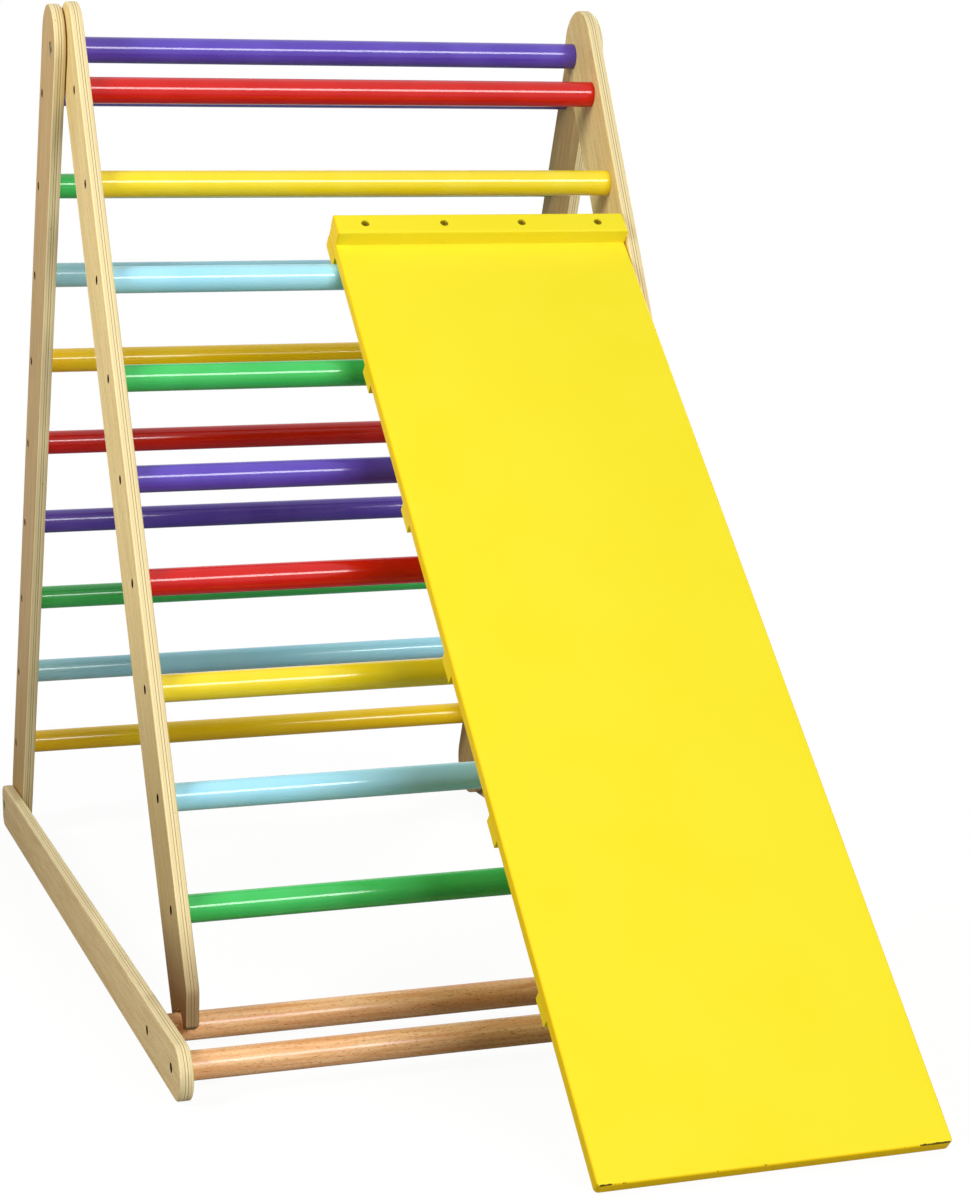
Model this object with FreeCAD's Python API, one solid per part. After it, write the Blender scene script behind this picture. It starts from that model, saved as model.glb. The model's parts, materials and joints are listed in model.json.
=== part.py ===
"""Folding climbing frame: two plywood ladders hinged at the top, a base frame that keeps their feet
apart, and a painted ramp that hooks over a rung.

Millimetres. +Z is up, +Y points to the rear ladder, and the origin is on the floor under the middle
of the whole frame. Ladders are drawn hanging straight down from the top hinge, then turned to their
lean: "down" is measured along the rail from the hinge, "out" away from the inside of the frame.
"""
import FreeCAD, Part
import math
import os

V = FreeCAD.Vector
ACROSS = V(1, 0, 0)
FRONT, REAR = -1, 1
NEAR = 0.01               # places closer than this are the same place
OVERCUT = 1.0             # a cut runs this far past the face it opens

# Stock
ply_thickness = 12.0
rung_diameter = 25.0
dowel_diameter = 25.0
edge_round = 2.0          # eased edges of rails, bars and ramp
tip_round = 2.5           # sharp corners of a rail's outline

# Ladder rails and rungs
rail_width = 75.0
hinge_inset = 22.5        # hinge axis to the rail's inner edge
rung_count = 9
rung_pitch = 100.0
first_rung = 61.0         # hinge axis to the first rung, down the rail
front_rung_out = 28.5     # rung line, out from the hinge axis
rear_rung_out = 37.0
inside_width = 511.0      # between the front rails, the length of a front rung

# Triangle that the frame stands in
rear_leg = 943.0          # hinge to the rear foot pivot, down the rail
rear_pivot_out = 24.0     # foot pivot, out from the hinge axis
front_leg = 956.0         # hinge to the hook dowel, down the rail
hook_out = -6.0           # hook dowel, out from the hinge axis
base_spread = 871.0       # rear foot pivot to the hook dowel
rear_foot_gap = 3.5       # rear rail's round foot, clear of the floor

# Hook at the front feet
hook_clearance = 0.5
hook_slack = 12.0         # room in the slot in front of the dowel
lip_below_dowel = 8.5     # front lip, down past the dowel's axis
heel_above_dowel = 9.0    # rear end of the slot, above the dowel's axis
front_toe_length = 27.0   # slanted toe, along the rail
front_toe_depth = 19.5    # slanted toe, in from the rail's outer edge
front_toe_round = 16.0

# Base frame
base_bar_height = 48.0
dowel_spacing = 103.0     # hook dowel to the front dowel
front_overhang = 36.0     # front dowel to the bar's front end
rear_overhang = 14.0      # foot pivot to the bar's rear end
rear_corner_round = 13.0

# Wood screws
screw_shank_diameter = 4.0
screw_head_diameter = 8.0
screw_head_height = 2.6
screw_length = 45.0
screw_point = 5.0
screw_tip_diameter = 1.0
screw_recess = 1.2        # head below the wood's face
screw_clearance = 0.1
drive_length = 4.4
drive_width = 0.9
drive_depth = 1.6

# Pivots
washer_thickness = 1.0
washer_diameter = 22.0
pivot_clearance = 0.05    # running fit, on the radius
fixed_clearance = 0.1     # pieces of one body, on the radius
head_clearance = 0.5      # turning head in its pocket, on the radius
hinge_bolt_diameter = 8.0
bolt_head_diameter = 14.0
bolt_head_height = 4.0
bolt_recess = 0.8         # head below the wood's face
hinge_bolt_grip = 24.0    # bolt inside the rung's insert
insert_diameter = 12.0
insert_length = 28.0
foot_bolt_diameter = 6.0
sleeve_diameter = 10.0
flange_diameter = 16.0
flange_height = 2.5
flange_recess = 0.5
hex_key = 5.0
hex_depth = 2.4

# Ramp
ramp_rung = 3             # front rung that carries the ramp
ramp_length = 1010.0
ramp_width = 294.0
ramp_thickness = 12.0
ramp_seat_gap = 0.3
ramp_side_gap = 0.5       # to the right front rail's inner face
cleat_length = 25.0       # along the ramp
cleat_height = 16.0
hook_batten_length = 30.0
batten_length = 26.0
batten_height = 13.0
batten_inset = 1.0        # from the ramp's long edges
batten_count = 5
batten_pitch = 167.0
first_batten = 168.0      # ramp's top end to the first climbing batten
ramp_screw_count = 4
ramp_screw_margin = 29.0
ramp_screw_length = 34.0

# Places across the frame, all on the right side
rung_radius = rung_diameter / 2
dowel_radius = dowel_diameter / 2
front_face = inside_width / 2
front_back = front_face + ply_thickness
rear_face = front_back + washer_thickness
rear_back = rear_face + ply_thickness
base_face = rear_back + washer_thickness
base_back = base_face + ply_thickness

# Rail outline, out from the hinge axis
inner_edge = -hinge_inset
outer_edge = rail_width - hinge_inset
rail_middle = (inner_edge + outer_edge) / 2
rail_end_radius = rail_width / 2

# The triangle: foot pivot at y 0 before the final shift, all axes on the base bars' middle
base_axis = base_bar_height / 2
rear_reach = math.hypot(rear_leg, rear_pivot_out)
front_reach = math.hypot(front_leg, hook_out)
hinge_forward = (base_spread ** 2 + rear_reach ** 2 - front_reach ** 2) / (2 * base_spread)
hinge_rise = math.sqrt(rear_reach ** 2 - hinge_forward ** 2)
hinge = V(0, -hinge_forward, base_axis + hinge_rise)
rear_lean = math.atan2(hinge_forward, hinge_rise) - math.atan2(rear_pivot_out, rear_leg)
front_lean = math.atan2(base_spread - hinge_forward, hinge_rise) - math.atan2(hook_out, front_leg)
foot_pivot = V(0, 0, base_axis)
hook_dowel_axis = V(0, -base_spread, base_axis)
front_dowel_axis = V(0, -base_spread - dowel_spacing, base_axis)

lean = {FRONT: front_lean, REAR: rear_lean}
rung_out = {FRONT: front_rung_out, REAR: rear_rung_out}
rail_x = {FRONT: front_face, REAR: rear_face}


def local(side, out, down):
    """A point of a ladder that hangs straight down from the hinge."""
    return V(0, side * out, -down)


def stood(shape, side):
    """A ladder piece turned to its lean and hung on the hinge."""
    turned = shape.copy()
    turned.rotate(V(0, 0, 0), ACROSS, side * math.degrees(lean[side]))
    turned.translate(hinge)
    return turned


def stood_point(side, out, down):
    """Where a point of a hanging ladder goes."""
    turn = FreeCAD.Rotation(ACROSS, side * math.degrees(lean[side]))
    return turn.multVec(local(side, out, down)) + hinge


def rung_down(number):
    return first_rung + (number - 1) * rung_pitch


def outline(start, steps):
    """A closed wire from line ends, or (middle, end) pairs for arcs."""
    edges = []
    here = start
    for step in steps:
        if isinstance(step, tuple):
            middle, end = step
            edges.append(Part.Arc(here, middle, end).toShape())
        else:
            end = step
            edges.append(Part.makeLine(here, end))
        here = end
    return Part.Wire(edges)


def corner_depth(radius):
    """How far the middle of a rounded square corner lies in from each side."""
    return radius * (1 - math.sqrt(0.5))


def slab(wire, x, thickness):
    """A wire in the plane x = 0 made into a board from x outwards."""
    board = Part.Face(wire).extrude(V(thickness, 0, 0))
    board.translate(V(x, 0, 0))
    return board


def edges_through(shape, points):
    """The edges across the board at the given outline points."""
    found = []
    for edge in shape.Edges:
        box = edge.BoundBox
        middle = box.Center
        for point in points:
            if box.XLength > NEAR and math.hypot(middle.y - point.y, middle.z - point.z) < NEAR:
                found.append(edge)
    return found


def rim_edges(shape, x_places):
    """The edges around a board's two broad faces."""
    return [edge for edge in shape.Edges
            if edge.BoundBox.XLength < NEAR
            and min(abs(edge.BoundBox.Center.x - x) for x in x_places) < NEAR]


def eased(board, x, thickness, corners=()):
    """A board with its outline's sharp corners and its two rims rounded."""
    if corners:
        board = board.makeFillet(tip_round, edges_through(board, corners))
    return board.makeFillet(edge_round, rim_edges(board, (x, x + thickness)))


def mirrored(shape):
    """The left twin of a right-hand piece."""
    return shape.mirror(V(0, 0, 0), ACROSS)


def pair(shape):
    return Part.makeCompound([shape, mirrored(shape)])


def rod(radius, start, length, direction=ACROSS):
    return Part.makeCylinder(radius, length, start, direction)


def placed(shape, place, direction):
    """A fastener drawn along +X, put with its head at a place."""
    moved = shape.copy()
    moved.Placement = FreeCAD.Placement(place, FreeCAD.Rotation(ACROSS, direction))
    return moved


def wood_screw(length):
    """A countersunk screw along +X, its head's top at the origin."""
    head = Part.makeCone(screw_head_diameter / 2, screw_shank_diameter / 2, screw_head_height,
                         V(0, 0, 0), ACROSS)
    shank_end = length - screw_point
    shank = rod(screw_shank_diameter / 2, V(screw_head_height, 0, 0), shank_end - screw_head_height)
    point = Part.makeCone(screw_shank_diameter / 2, screw_tip_diameter / 2, screw_point,
                          V(shank_end, 0, 0), ACROSS)
    screw = head.fuse([shank, point]).removeSplitter()
    for size_y, size_z in ((drive_length, drive_width), (drive_width, drive_length)):
        slot = Part.makeBox(drive_depth, size_y, size_z, V(0, -size_y / 2, -size_z / 2))
        screw = screw.cut(slot)
    return screw


def screw_pocket(length):
    """The room that a wood screw takes, with its countersink and recess."""
    head_radius = screw_head_diameter / 2 + screw_clearance
    shank_radius = screw_shank_diameter / 2 + screw_clearance
    mouth = rod(head_radius, V(-screw_recess - OVERCUT, 0, 0), screw_recess + OVERCUT)
    sink = Part.makeCone(head_radius, shank_radius, screw_head_height, V(0, 0, 0), ACROSS)
    bore_length = length + screw_clearance - screw_head_height
    bore = rod(shank_radius, V(screw_head_height, 0, 0), bore_length)
    return mouth.fuse([sink, bore])


def socket_bolt(shank_diameter, length):
    """A flat-headed bolt along +X with a hexagon socket, its head's top at the origin."""
    head = rod(bolt_head_diameter / 2, V(0, 0, 0), bolt_head_height)
    shank = rod(shank_diameter / 2, V(bolt_head_height, 0, 0), length)
    corner = hex_key / math.sqrt(3)
    points = [V(0, corner * math.cos(math.radians(60 * k)), corner * math.sin(math.radians(60 * k)))
              for k in range(7)]
    socket = Part.Face(Part.makePolygon(points)).extrude(V(hex_depth, 0, 0))
    return head.fuse(shank).removeSplitter().cut(socket)


def bolt_pocket(face_x):
    """Room for a bolt head in a board whose outer face is at face_x on the right side."""
    depth = bolt_recess + bolt_head_height
    return rod(bolt_head_diameter / 2 + head_clearance, V(face_x - depth, 0, 0), depth + OVERCUT)


def washer(bolt_diameter, x):
    ring = rod(washer_diameter / 2, V(x, 0, 0), washer_thickness)
    return ring.cut(rod(bolt_diameter / 2 + fixed_clearance, V(x, 0, 0), washer_thickness))


def rung(length, diameter):
    """A rod across the frame with a pilot hole for a screw in each end."""
    body = rod(diameter / 2, V(-length / 2, 0, 0), length)
    for end in (-1, 1):
        head = V(end * (length / 2 + ply_thickness - screw_recess), 0, 0)
        body = body.cut(placed(screw_pocket(screw_length), head, V(-end, 0, 0)))
    return body


def rung_screw(back_x):
    """A screw through a right-hand board into a rung's end, on the x axis."""
    return placed(wood_screw(screw_length), V(back_x - screw_recess, 0, 0), V(-1, 0, 0))


def drilled(board, side, back_x):
    """A rail with the pockets of its rung screws."""
    for number in range(1, rung_count + 1):
        pocket = placed(screw_pocket(screw_length), V(back_x - screw_recess, 0, 0), V(-1, 0, 0))
        pocket.translate(local(side, rung_out[side], rung_down(number)))
        board = board.cut(pocket)
    return board


def front_rail():
    """The right front rail: a round top, and a slanted foot with a slot that sits over the hook dowel."""
    reach = dowel_radius + hook_clearance
    slot_top = front_leg - reach
    slot_front = hook_out + hook_slack
    lip_inner = slot_front + reach
    lip_end = front_leg + lip_below_dowel
    lip_outer = outer_edge - front_toe_depth
    slant = corner_depth(reach)
    heel_end = front_leg - heel_above_dowel
    heel_turn = math.acos(heel_above_dowel / reach)

    def at(out, down):
        return local(FRONT, out, down)

    def round_dowel(turn):
        """A point of the slot behind the dowel's top, turned away from it."""
        return at(hook_out - reach * math.sin(turn), front_leg - reach * math.cos(turn))

    start = at(inner_edge, 0)
    toe_start = at(outer_edge, lip_end - front_toe_length)
    heel_start = round_dowel(heel_turn)
    wire = outline(start, [
        (at(rail_middle, -rail_end_radius), at(outer_edge, 0)),
        toe_start,
        at(lip_outer, lip_end),
        at(lip_inner, lip_end),
        at(lip_inner, front_leg),
        (at(lip_inner - slant, slot_top + slant), at(slot_front, slot_top)),
        at(hook_out, slot_top),
        (round_dowel(heel_turn / 2), heel_start),
        at(inner_edge, heel_end),
        start])
    board = slab(wire, front_face, ply_thickness)
    board = board.makeFillet(front_toe_round, edges_through(board, [toe_start]))
    corners = [at(lip_outer, lip_end), at(lip_inner, lip_end), heel_start, at(inner_edge, heel_end)]
    board = eased(board, front_face, ply_thickness, corners)
    bolt_hole = rod(hinge_bolt_diameter / 2 + fixed_clearance, V(front_face, 0, 0), ply_thickness)
    return drilled(board.cut(bolt_hole), FRONT, front_back)


def rear_rail():
    """The right rear rail: round at both ends, with the hinge hole and the foot pivot's hole."""
    foot_height = rear_foot_gap + rail_end_radius
    rise = rail_middle * math.sin(rear_lean)
    foot_down = (hinge.z + rise - foot_height) / math.cos(rear_lean)

    def at(out, down):
        return local(REAR, out, down)

    start = at(inner_edge, 0)
    wire = outline(start, [
        (at(rail_middle, -rail_end_radius), at(outer_edge, 0)),
        at(outer_edge, foot_down),
        (at(rail_middle, foot_down + rail_end_radius), at(inner_edge, foot_down)),
        start])
    board = eased(slab(wire, rear_face, ply_thickness), rear_face, ply_thickness)
    hinge_hole = rod(hinge_bolt_diameter / 2 + pivot_clearance, V(rear_face, 0, 0), ply_thickness)
    foot_hole = rod(sleeve_diameter / 2 + pivot_clearance, V(rear_face, 0, 0), ply_thickness)
    flange_depth = flange_height + flange_recess
    flange_pocket = rod(flange_diameter / 2 + head_clearance,
                        V(rear_face - OVERCUT, 0, 0), flange_depth + OVERCUT)
    foot_room = foot_hole.fuse(flange_pocket)
    foot_room.translate(local(REAR, rear_pivot_out, rear_leg))
    board = board.cut(hinge_hole.fuse(bolt_pocket(rear_back))).cut(foot_room)
    return drilled(board, REAR, rear_back)


def base_bar():
    """The right base bar: round at the front, rounded corners at the rear, flat on the floor."""
    half = base_bar_height / 2
    front_end = front_dowel_axis.y - front_overhang
    front_middle = front_end + half
    round_size = rear_corner_round
    slant = corner_depth(round_size)
    rear_end = rear_overhang
    top = base_bar_height
    start = V(0, front_middle, 0)
    wire = outline(start, [
        (V(0, front_end, half), V(0, front_middle, top)),
        V(0, rear_end - round_size, top),
        (V(0, rear_end - slant, top - slant), V(0, rear_end, top - round_size)),
        V(0, rear_end, round_size),
        (V(0, rear_end - slant, slant), V(0, rear_end - round_size, 0)),
        start])
    board = eased(slab(wire, base_face, ply_thickness), base_face, ply_thickness)
    pivot_hole = rod(foot_bolt_diameter / 2 + fixed_clearance, V(base_face, 0, 0), ply_thickness)
    pivot_room = pivot_hole.fuse(bolt_pocket(base_back))
    pivot_room.translate(foot_pivot)
    board = board.cut(pivot_room)
    for axis in (hook_dowel_axis, front_dowel_axis):
        pocket = placed(screw_pocket(screw_length), V(base_back - screw_recess, 0, 0), V(-1, 0, 0))
        pocket.translate(axis)
        board = board.cut(pocket)
    return board


def top_rung():
    """The hinge rung between the front rails, bored at both ends for the threaded inserts."""
    body = rod(rung_radius, V(-front_face, 0, 0), inside_width)
    bore = rod(insert_diameter / 2 + fixed_clearance, V(front_face - insert_length, 0, 0), insert_length)
    return body.cut(pair(bore))


def hinge_insert():
    body = rod(insert_diameter / 2, V(front_face - insert_length, 0, 0), insert_length)
    return body.cut(rod(hinge_bolt_diameter / 2 + fixed_clearance, V(front_face, 0, 0),
                        insert_length, V(-1, 0, 0)))


def hinge_bolt():
    """Through the rear rail, the washer and the front rail into the top rung."""
    seat = rear_back - bolt_recess - bolt_head_height
    bolt = socket_bolt(hinge_bolt_diameter, seat - front_face + hinge_bolt_grip)
    return placed(bolt, V(rear_back - bolt_recess, 0, 0), V(-1, 0, 0))


def foot_bolt():
    """Through the base bar and the washer into the sleeve nut inside the rear rail."""
    seat = base_back - bolt_recess - bolt_head_height
    tip = rear_face + flange_recess + flange_height
    bolt = socket_bolt(foot_bolt_diameter, seat - tip)
    bolt = placed(bolt, V(base_back - bolt_recess, 0, 0), V(-1, 0, 0))
    bolt.translate(foot_pivot)
    return bolt


def foot_sleeve():
    """A sleeve nut that turns in the rear rail, its flange sunk in the rail's inner face."""
    flange_start = rear_face + flange_recess
    flange = rod(flange_diameter / 2, V(flange_start, 0, 0), flange_height)
    sleeve = rod(sleeve_diameter / 2, V(flange_start, 0, 0), rear_back - flange_start)
    bore_start = flange_start + flange_height
    bore = rod(foot_bolt_diameter / 2 + fixed_clearance, V(bore_start, 0, 0), rear_back - bore_start)
    nut = flange.fuse(sleeve).removeSplitter().cut(bore)
    nut.translate(foot_pivot)
    return nut


# The ramp is drawn lying flat with the carrying rung's axis at the origin and its toe towards -Y
carrier = stood_point(FRONT, front_rung_out, rung_down(ramp_rung))
seat_height = rung_radius + ramp_seat_gap
top_end = hook_batten_length + ramp_seat_gap + rung_radius
toe_reach = ramp_length - top_end
ramp_slope = math.asin(carrier.z / math.hypot(toe_reach, seat_height)) + math.atan2(seat_height, toe_reach)
ramp_right = front_face - ramp_side_gap
ramp_left = ramp_right - ramp_width


def on_ramp(shape):
    """A flat-lying ramp piece turned to the slope and put on its rung."""
    turned = shape.copy()
    turned.rotate(V(0, 0, 0), ACROSS, math.degrees(ramp_slope))
    turned.translate(carrier)
    return turned


def ramp_block(from_top, length, height, bottom, inset=0.0):
    """A piece across the ramp, from_top measured down from the ramp's top end."""
    return Part.makeBox(ramp_width - 2 * inset, length, height,
                        V(ramp_left + inset, top_end - from_top - length, bottom))


def rounded_where(block, radius, keep):
    """A block with the edges rounded whose middle passes the test."""
    return block.makeFillet(radius, [edge for edge in block.Edges if keep(edge.BoundBox.Center)])


def ramp_screw_places():
    """Screw heads on the cleat, evenly spread across the ramp."""
    span = ramp_width - 2 * ramp_screw_margin
    step = span / (ramp_screw_count - 1)
    head = seat_height + ramp_thickness + cleat_height - screw_recess
    return [V(ramp_left + ramp_screw_margin + k * step, top_end - cleat_length / 2, head)
            for k in range(ramp_screw_count)]


def screwed(block):
    """A ramp piece with the room for the cleat's screws."""
    for place in ramp_screw_places():
        block = block.cut(placed(screw_pocket(ramp_screw_length), place, V(0, 0, -1)))
    return block


def ramp_board():
    block = ramp_block(0, ramp_length, ramp_thickness, seat_height)
    top = seat_height + ramp_thickness
    board = rounded_where(block, edge_round, lambda middle: abs(middle.z - top) < NEAR and
                          middle.y < top_end - cleat_length / 2)
    return on_ramp(screwed(board))


def ramp_cleat():
    block = ramp_block(0, cleat_length, cleat_height, seat_height + ramp_thickness)
    top = seat_height + ramp_thickness + cleat_height
    return on_ramp(screwed(rounded_where(block, edge_round, lambda middle: abs(middle.z - top) < NEAR)))


def hook_batten():
    """Rests on the carrying rung from above, so its lower face stays square."""
    block = ramp_block(0, hook_batten_length, batten_height, seat_height - batten_height)
    low = seat_height - batten_height
    batten = rounded_where(block, edge_round, lambda middle: abs(middle.z - low) < NEAR and
                           middle.y > top_end - hook_batten_length / 2)
    return on_ramp(screwed(batten))


def climbing_batten(number):
    start = first_batten + (number - 1) * batten_pitch
    low = seat_height - batten_height
    block = ramp_block(start, batten_length, batten_height, low, batten_inset)
    return on_ramp(rounded_where(block, edge_round, lambda middle: abs(middle.z - low) < NEAR))


def ramp_screws():
    screws = [placed(wood_screw(ramp_screw_length), place, V(0, 0, -1)) for place in ramp_screw_places()]
    return on_ramp(Part.makeCompound(screws))


def ladder_screws(side, back_x):
    """Every rung screw of one ladder, both sides, as one group."""
    screws = []
    for number in range(1, rung_count + 1):
        screw = rung_screw(back_x)
        screw.translate(local(side, rung_out[side], rung_down(number)))
        screws += [screw, mirrored(screw)]
    return stood(Part.makeCompound(screws), side)


def ladder_rung(side, number):
    body = rung(2 * rail_x[side], rung_diameter)
    body.translate(local(side, rung_out[side], rung_down(number)))
    return stood(body, side)


def dowel(axis):
    body = rung(2 * base_face, dowel_diameter)
    body.translate(axis)
    return body


def dowel_screws():
    screws = []
    for axis in (hook_dowel_axis, front_dowel_axis):
        screw = rung_screw(base_back)
        screw.translate(axis)
        screws += [screw, mirrored(screw)]
    return Part.makeCompound(screws)


def foot_washer():
    ring = washer(foot_bolt_diameter, rear_back)
    ring.translate(foot_pivot)
    return ring


def both_sides(name, shape):
    return {name + "_right": shape, name + "_left": mirrored(shape)}


def build():
    """Every piece by its name, before the shift to the origin."""
    pieces = {}
    pieces.update(both_sides("base_bar", base_bar()))
    pieces["hook_dowel"] = dowel(hook_dowel_axis)
    pieces["front_dowel"] = dowel(front_dowel_axis)
    pieces["dowel_screws"] = dowel_screws()
    pieces["foot_bolts"] = pair(foot_bolt())
    pieces["foot_sleeve_nuts"] = pair(foot_sleeve())
    pieces["foot_washers"] = pair(foot_washer())
    pieces.update(both_sides("rear_rail", stood(rear_rail(), REAR)))
    pieces.update(both_sides("front_rail", stood(front_rail(), FRONT)))
    pieces["top_rung"] = stood(top_rung(), FRONT)
    pieces["hinge_inserts"] = stood(pair(hinge_insert()), FRONT)
    pieces["hinge_bolts"] = stood(pair(hinge_bolt()), FRONT)
    pieces["hinge_washers"] = stood(pair(washer(hinge_bolt_diameter, front_back)), FRONT)
    pieces["front_rung_screws"] = ladder_screws(FRONT, front_back)
    pieces["rear_rung_screws"] = ladder_screws(REAR, rear_back)
    for number in range(1, rung_count + 1):
        pieces[f"front_rung_{number}"] = ladder_rung(FRONT, number)
        pieces[f"rear_rung_{number}"] = ladder_rung(REAR, number)
    pieces["ramp_board"] = ramp_board()
    pieces["ramp_cleat"] = ramp_cleat()
    pieces["ramp_hook_batten"] = hook_batten()
    pieces["ramp_screws"] = ramp_screws()
    for number in range(1, batten_count + 1):
        pieces[f"ramp_batten_{number}"] = climbing_batten(number)
    return pieces


pieces = build()
box = Part.makeCompound(list(pieces.values())).optimalBoundingBox(False, False)
shift = V(0, -(box.YMin + box.YMax) / 2, -box.ZMin)
os.makedirs("parts", exist_ok=True)
for name, shape in pieces.items():
    shape.translate(shift)
    shape.exportStep(f"parts/{name}.step")
sizes = " x ".join(str(round(size, 2)) for size in (box.XLength, box.YLength, box.ZLength))
print(len(pieces), "nodes,", sizes, "mm")
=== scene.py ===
# %% [markdown]
# # A folding climbing frame for small children
#
# Two plywood ladders are hinged at the top and stand on a base frame, and a yellow ramp hangs on a
# rung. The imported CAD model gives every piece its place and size. This lesson gives the pieces
# their looks: plywood that shows its layers, gloss paint on round rungs, oiled beech, and a ramp
# with a worn toe.

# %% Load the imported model
import json
import math
import bpy
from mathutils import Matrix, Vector

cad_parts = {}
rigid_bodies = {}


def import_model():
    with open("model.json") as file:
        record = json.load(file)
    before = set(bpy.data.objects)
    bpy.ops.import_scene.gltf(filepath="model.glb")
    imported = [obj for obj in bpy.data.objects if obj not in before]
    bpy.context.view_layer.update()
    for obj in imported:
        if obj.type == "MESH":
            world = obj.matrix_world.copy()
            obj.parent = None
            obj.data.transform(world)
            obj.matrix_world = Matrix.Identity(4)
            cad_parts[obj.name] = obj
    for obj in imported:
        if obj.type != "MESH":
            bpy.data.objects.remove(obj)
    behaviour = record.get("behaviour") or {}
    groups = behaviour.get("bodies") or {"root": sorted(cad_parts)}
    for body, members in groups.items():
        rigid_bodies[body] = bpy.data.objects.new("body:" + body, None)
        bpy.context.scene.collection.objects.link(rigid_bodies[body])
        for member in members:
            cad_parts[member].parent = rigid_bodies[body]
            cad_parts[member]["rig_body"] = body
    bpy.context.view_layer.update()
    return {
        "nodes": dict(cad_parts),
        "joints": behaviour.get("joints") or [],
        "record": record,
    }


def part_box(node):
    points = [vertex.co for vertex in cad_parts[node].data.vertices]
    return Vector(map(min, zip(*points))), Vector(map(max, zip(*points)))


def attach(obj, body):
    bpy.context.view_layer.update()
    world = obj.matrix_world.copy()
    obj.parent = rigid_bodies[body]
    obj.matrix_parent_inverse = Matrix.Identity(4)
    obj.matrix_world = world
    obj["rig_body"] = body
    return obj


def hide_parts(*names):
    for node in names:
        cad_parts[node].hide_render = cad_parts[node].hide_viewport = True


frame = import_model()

MM = 0.001
nodes = frame["nodes"]
joints = {joint["name"]: joint for joint in frame["joints"]}

# %% [markdown]
# ## Where things are
#
# Every finish below follows the piece it is on: grain runs along a rail, wear sits at the ramp's
# toe. So the slopes are measured on the CAD nodes first. A ladder's lean is the line from its first
# rung to its last, and the ramp's slope comes from its board's box, whose thickness is known.

# %% Measure the leans and the ramp's slope
PLY_THICKNESS = 12 * MM
RUNG_COUNT = 9
FIRST_GUESS = math.radians(45)
ROUNDS = 20                 # each one brings the ramp's slope closer


def centre(node):
    """The middle of a CAD node's box."""
    low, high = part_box(node)
    return (low + high) / 2


def lean_of(ladder):
    """How far a ladder leans from upright, turning about X, in radians."""
    rise = centre(f"{ladder}_rung_1") - centre(f"{ladder}_rung_{RUNG_COUNT}")
    return math.atan2(-rise.y, rise.z)


def slope_of(board):
    """The slope of a flat board that falls towards -Y, found by closing in on it."""
    low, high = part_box(board)
    slope = FIRST_GUESS
    for _ in range(ROUNDS):
        run = high.y - low.y - PLY_THICKNESS * math.sin(slope)
        rise = high.z - low.z - PLY_THICKNESS * math.cos(slope)
        slope = math.atan2(rise, run)
    return slope


front_lean = lean_of("front")
rear_lean = lean_of("rear")
ramp_slope = slope_of("ramp_board")
print("leans", round(math.degrees(front_lean), 2), round(math.degrees(rear_lean), 2),
      "ramp", round(math.degrees(ramp_slope), 2), "degrees")

# %% [markdown]
# ## The camera
#
# The view is that of the reference picture, which is 970 by 1200 pixels. Its camera was solved from
# the straight rails and evenly spaced rungs. It is placed from the top hinge, and its focal length
# is turned from pixels to millimetres of a 36 mm sensor, which spans the picture's longer side.

# %% Place the camera
PICTURE_WIDTH, PICTURE_HEIGHT = 970, 1200
FOCAL_PIXELS = 2636.2
AXIS_PIXEL = (482.9, 640.4)             # the pixel that the lens looks straight at
SENSOR_MM = 36.0
FROM_HINGE_MM = (-693.2, -2604.3, -128.0)
CAMERA_TURN = (80.158, 0.123, -18.108)  # degrees about X, Y and Z

hinge = Vector(joints["front_fold"]["pos_m"])
bpy.ops.object.select_all(action="DESELECT")
bpy.ops.object.camera_add(location=hinge + Vector(FROM_HINGE_MM) * MM,
                          rotation=[math.radians(angle) for angle in CAMERA_TURN])
camera = bpy.context.object
camera.data.sensor_width = SENSOR_MM
camera.data.lens = FOCAL_PIXELS * SENSOR_MM / PICTURE_HEIGHT
camera.data.shift_x = (PICTURE_WIDTH / 2 - AXIS_PIXEL[0]) / PICTURE_HEIGHT
camera.data.shift_y = (AXIS_PIXEL[1] - PICTURE_HEIGHT / 2) / PICTURE_HEIGHT
bpy.context.scene.camera = camera
print("camera lens", round(camera.data.lens, 2), "mm")

# %% [markdown]
# ## Building a material from nodes
#
# A shader is a small circuit: boxes with sockets, joined by links. One helper adds a box, sets its
# properties and fills its sockets, either with a value or with a link from another box's output.
# Colours are written as sRGB hex codes, as in a paint program, and turned to the linear numbers a
# shader works in.

# %% Helpers for materials
def linear(code):
    """An sRGB hex colour as linear RGBA, by the curve of the sRGB standard."""
    shares = [int(code[k:k + 2], 16) / 255 for k in (1, 3, 5)]
    return [s / 12.92 if s <= 0.04045 else ((s + 0.055) / 1.055) ** 2.4 for s in shares] + [1.0]


def add_node(tree, kind, sockets=None, **settings):
    """Adds a shader node with its properties, and fills its input sockets by name or number."""
    made = tree.nodes.new("ShaderNode" + kind)
    for name, value in settings.items():
        setattr(made, name, value)
    for name, value in (sockets or {}).items():
        if isinstance(value, bpy.types.NodeSocket):
            tree.links.new(value, made.inputs[name])
        else:
            made.inputs[name].default_value = value
    return made


def new_material(name):
    """An empty material, its tree, and the Object coordinates that every pattern starts from."""
    material = bpy.data.materials.new(name)
    material.use_nodes = True
    tree = material.node_tree
    tree.nodes.clear()
    place = add_node(tree, "TexCoord").outputs["Object"]
    return material, tree, place


def finish_material(tree, sockets):
    """Ends a material in one Principled shader."""
    shader = add_node(tree, "BsdfPrincipled", sockets)
    add_node(tree, "OutputMaterial", {"Surface": shader.outputs["BSDF"]})


# Sockets of the Mix node when it mixes colours
FACTOR, COLOUR_A, COLOUR_B, MIXED = 0, 6, 7, 2
WHITE = linear("#FFFFFF")
print("white is", [round(share, 2) for share in WHITE])

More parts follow.
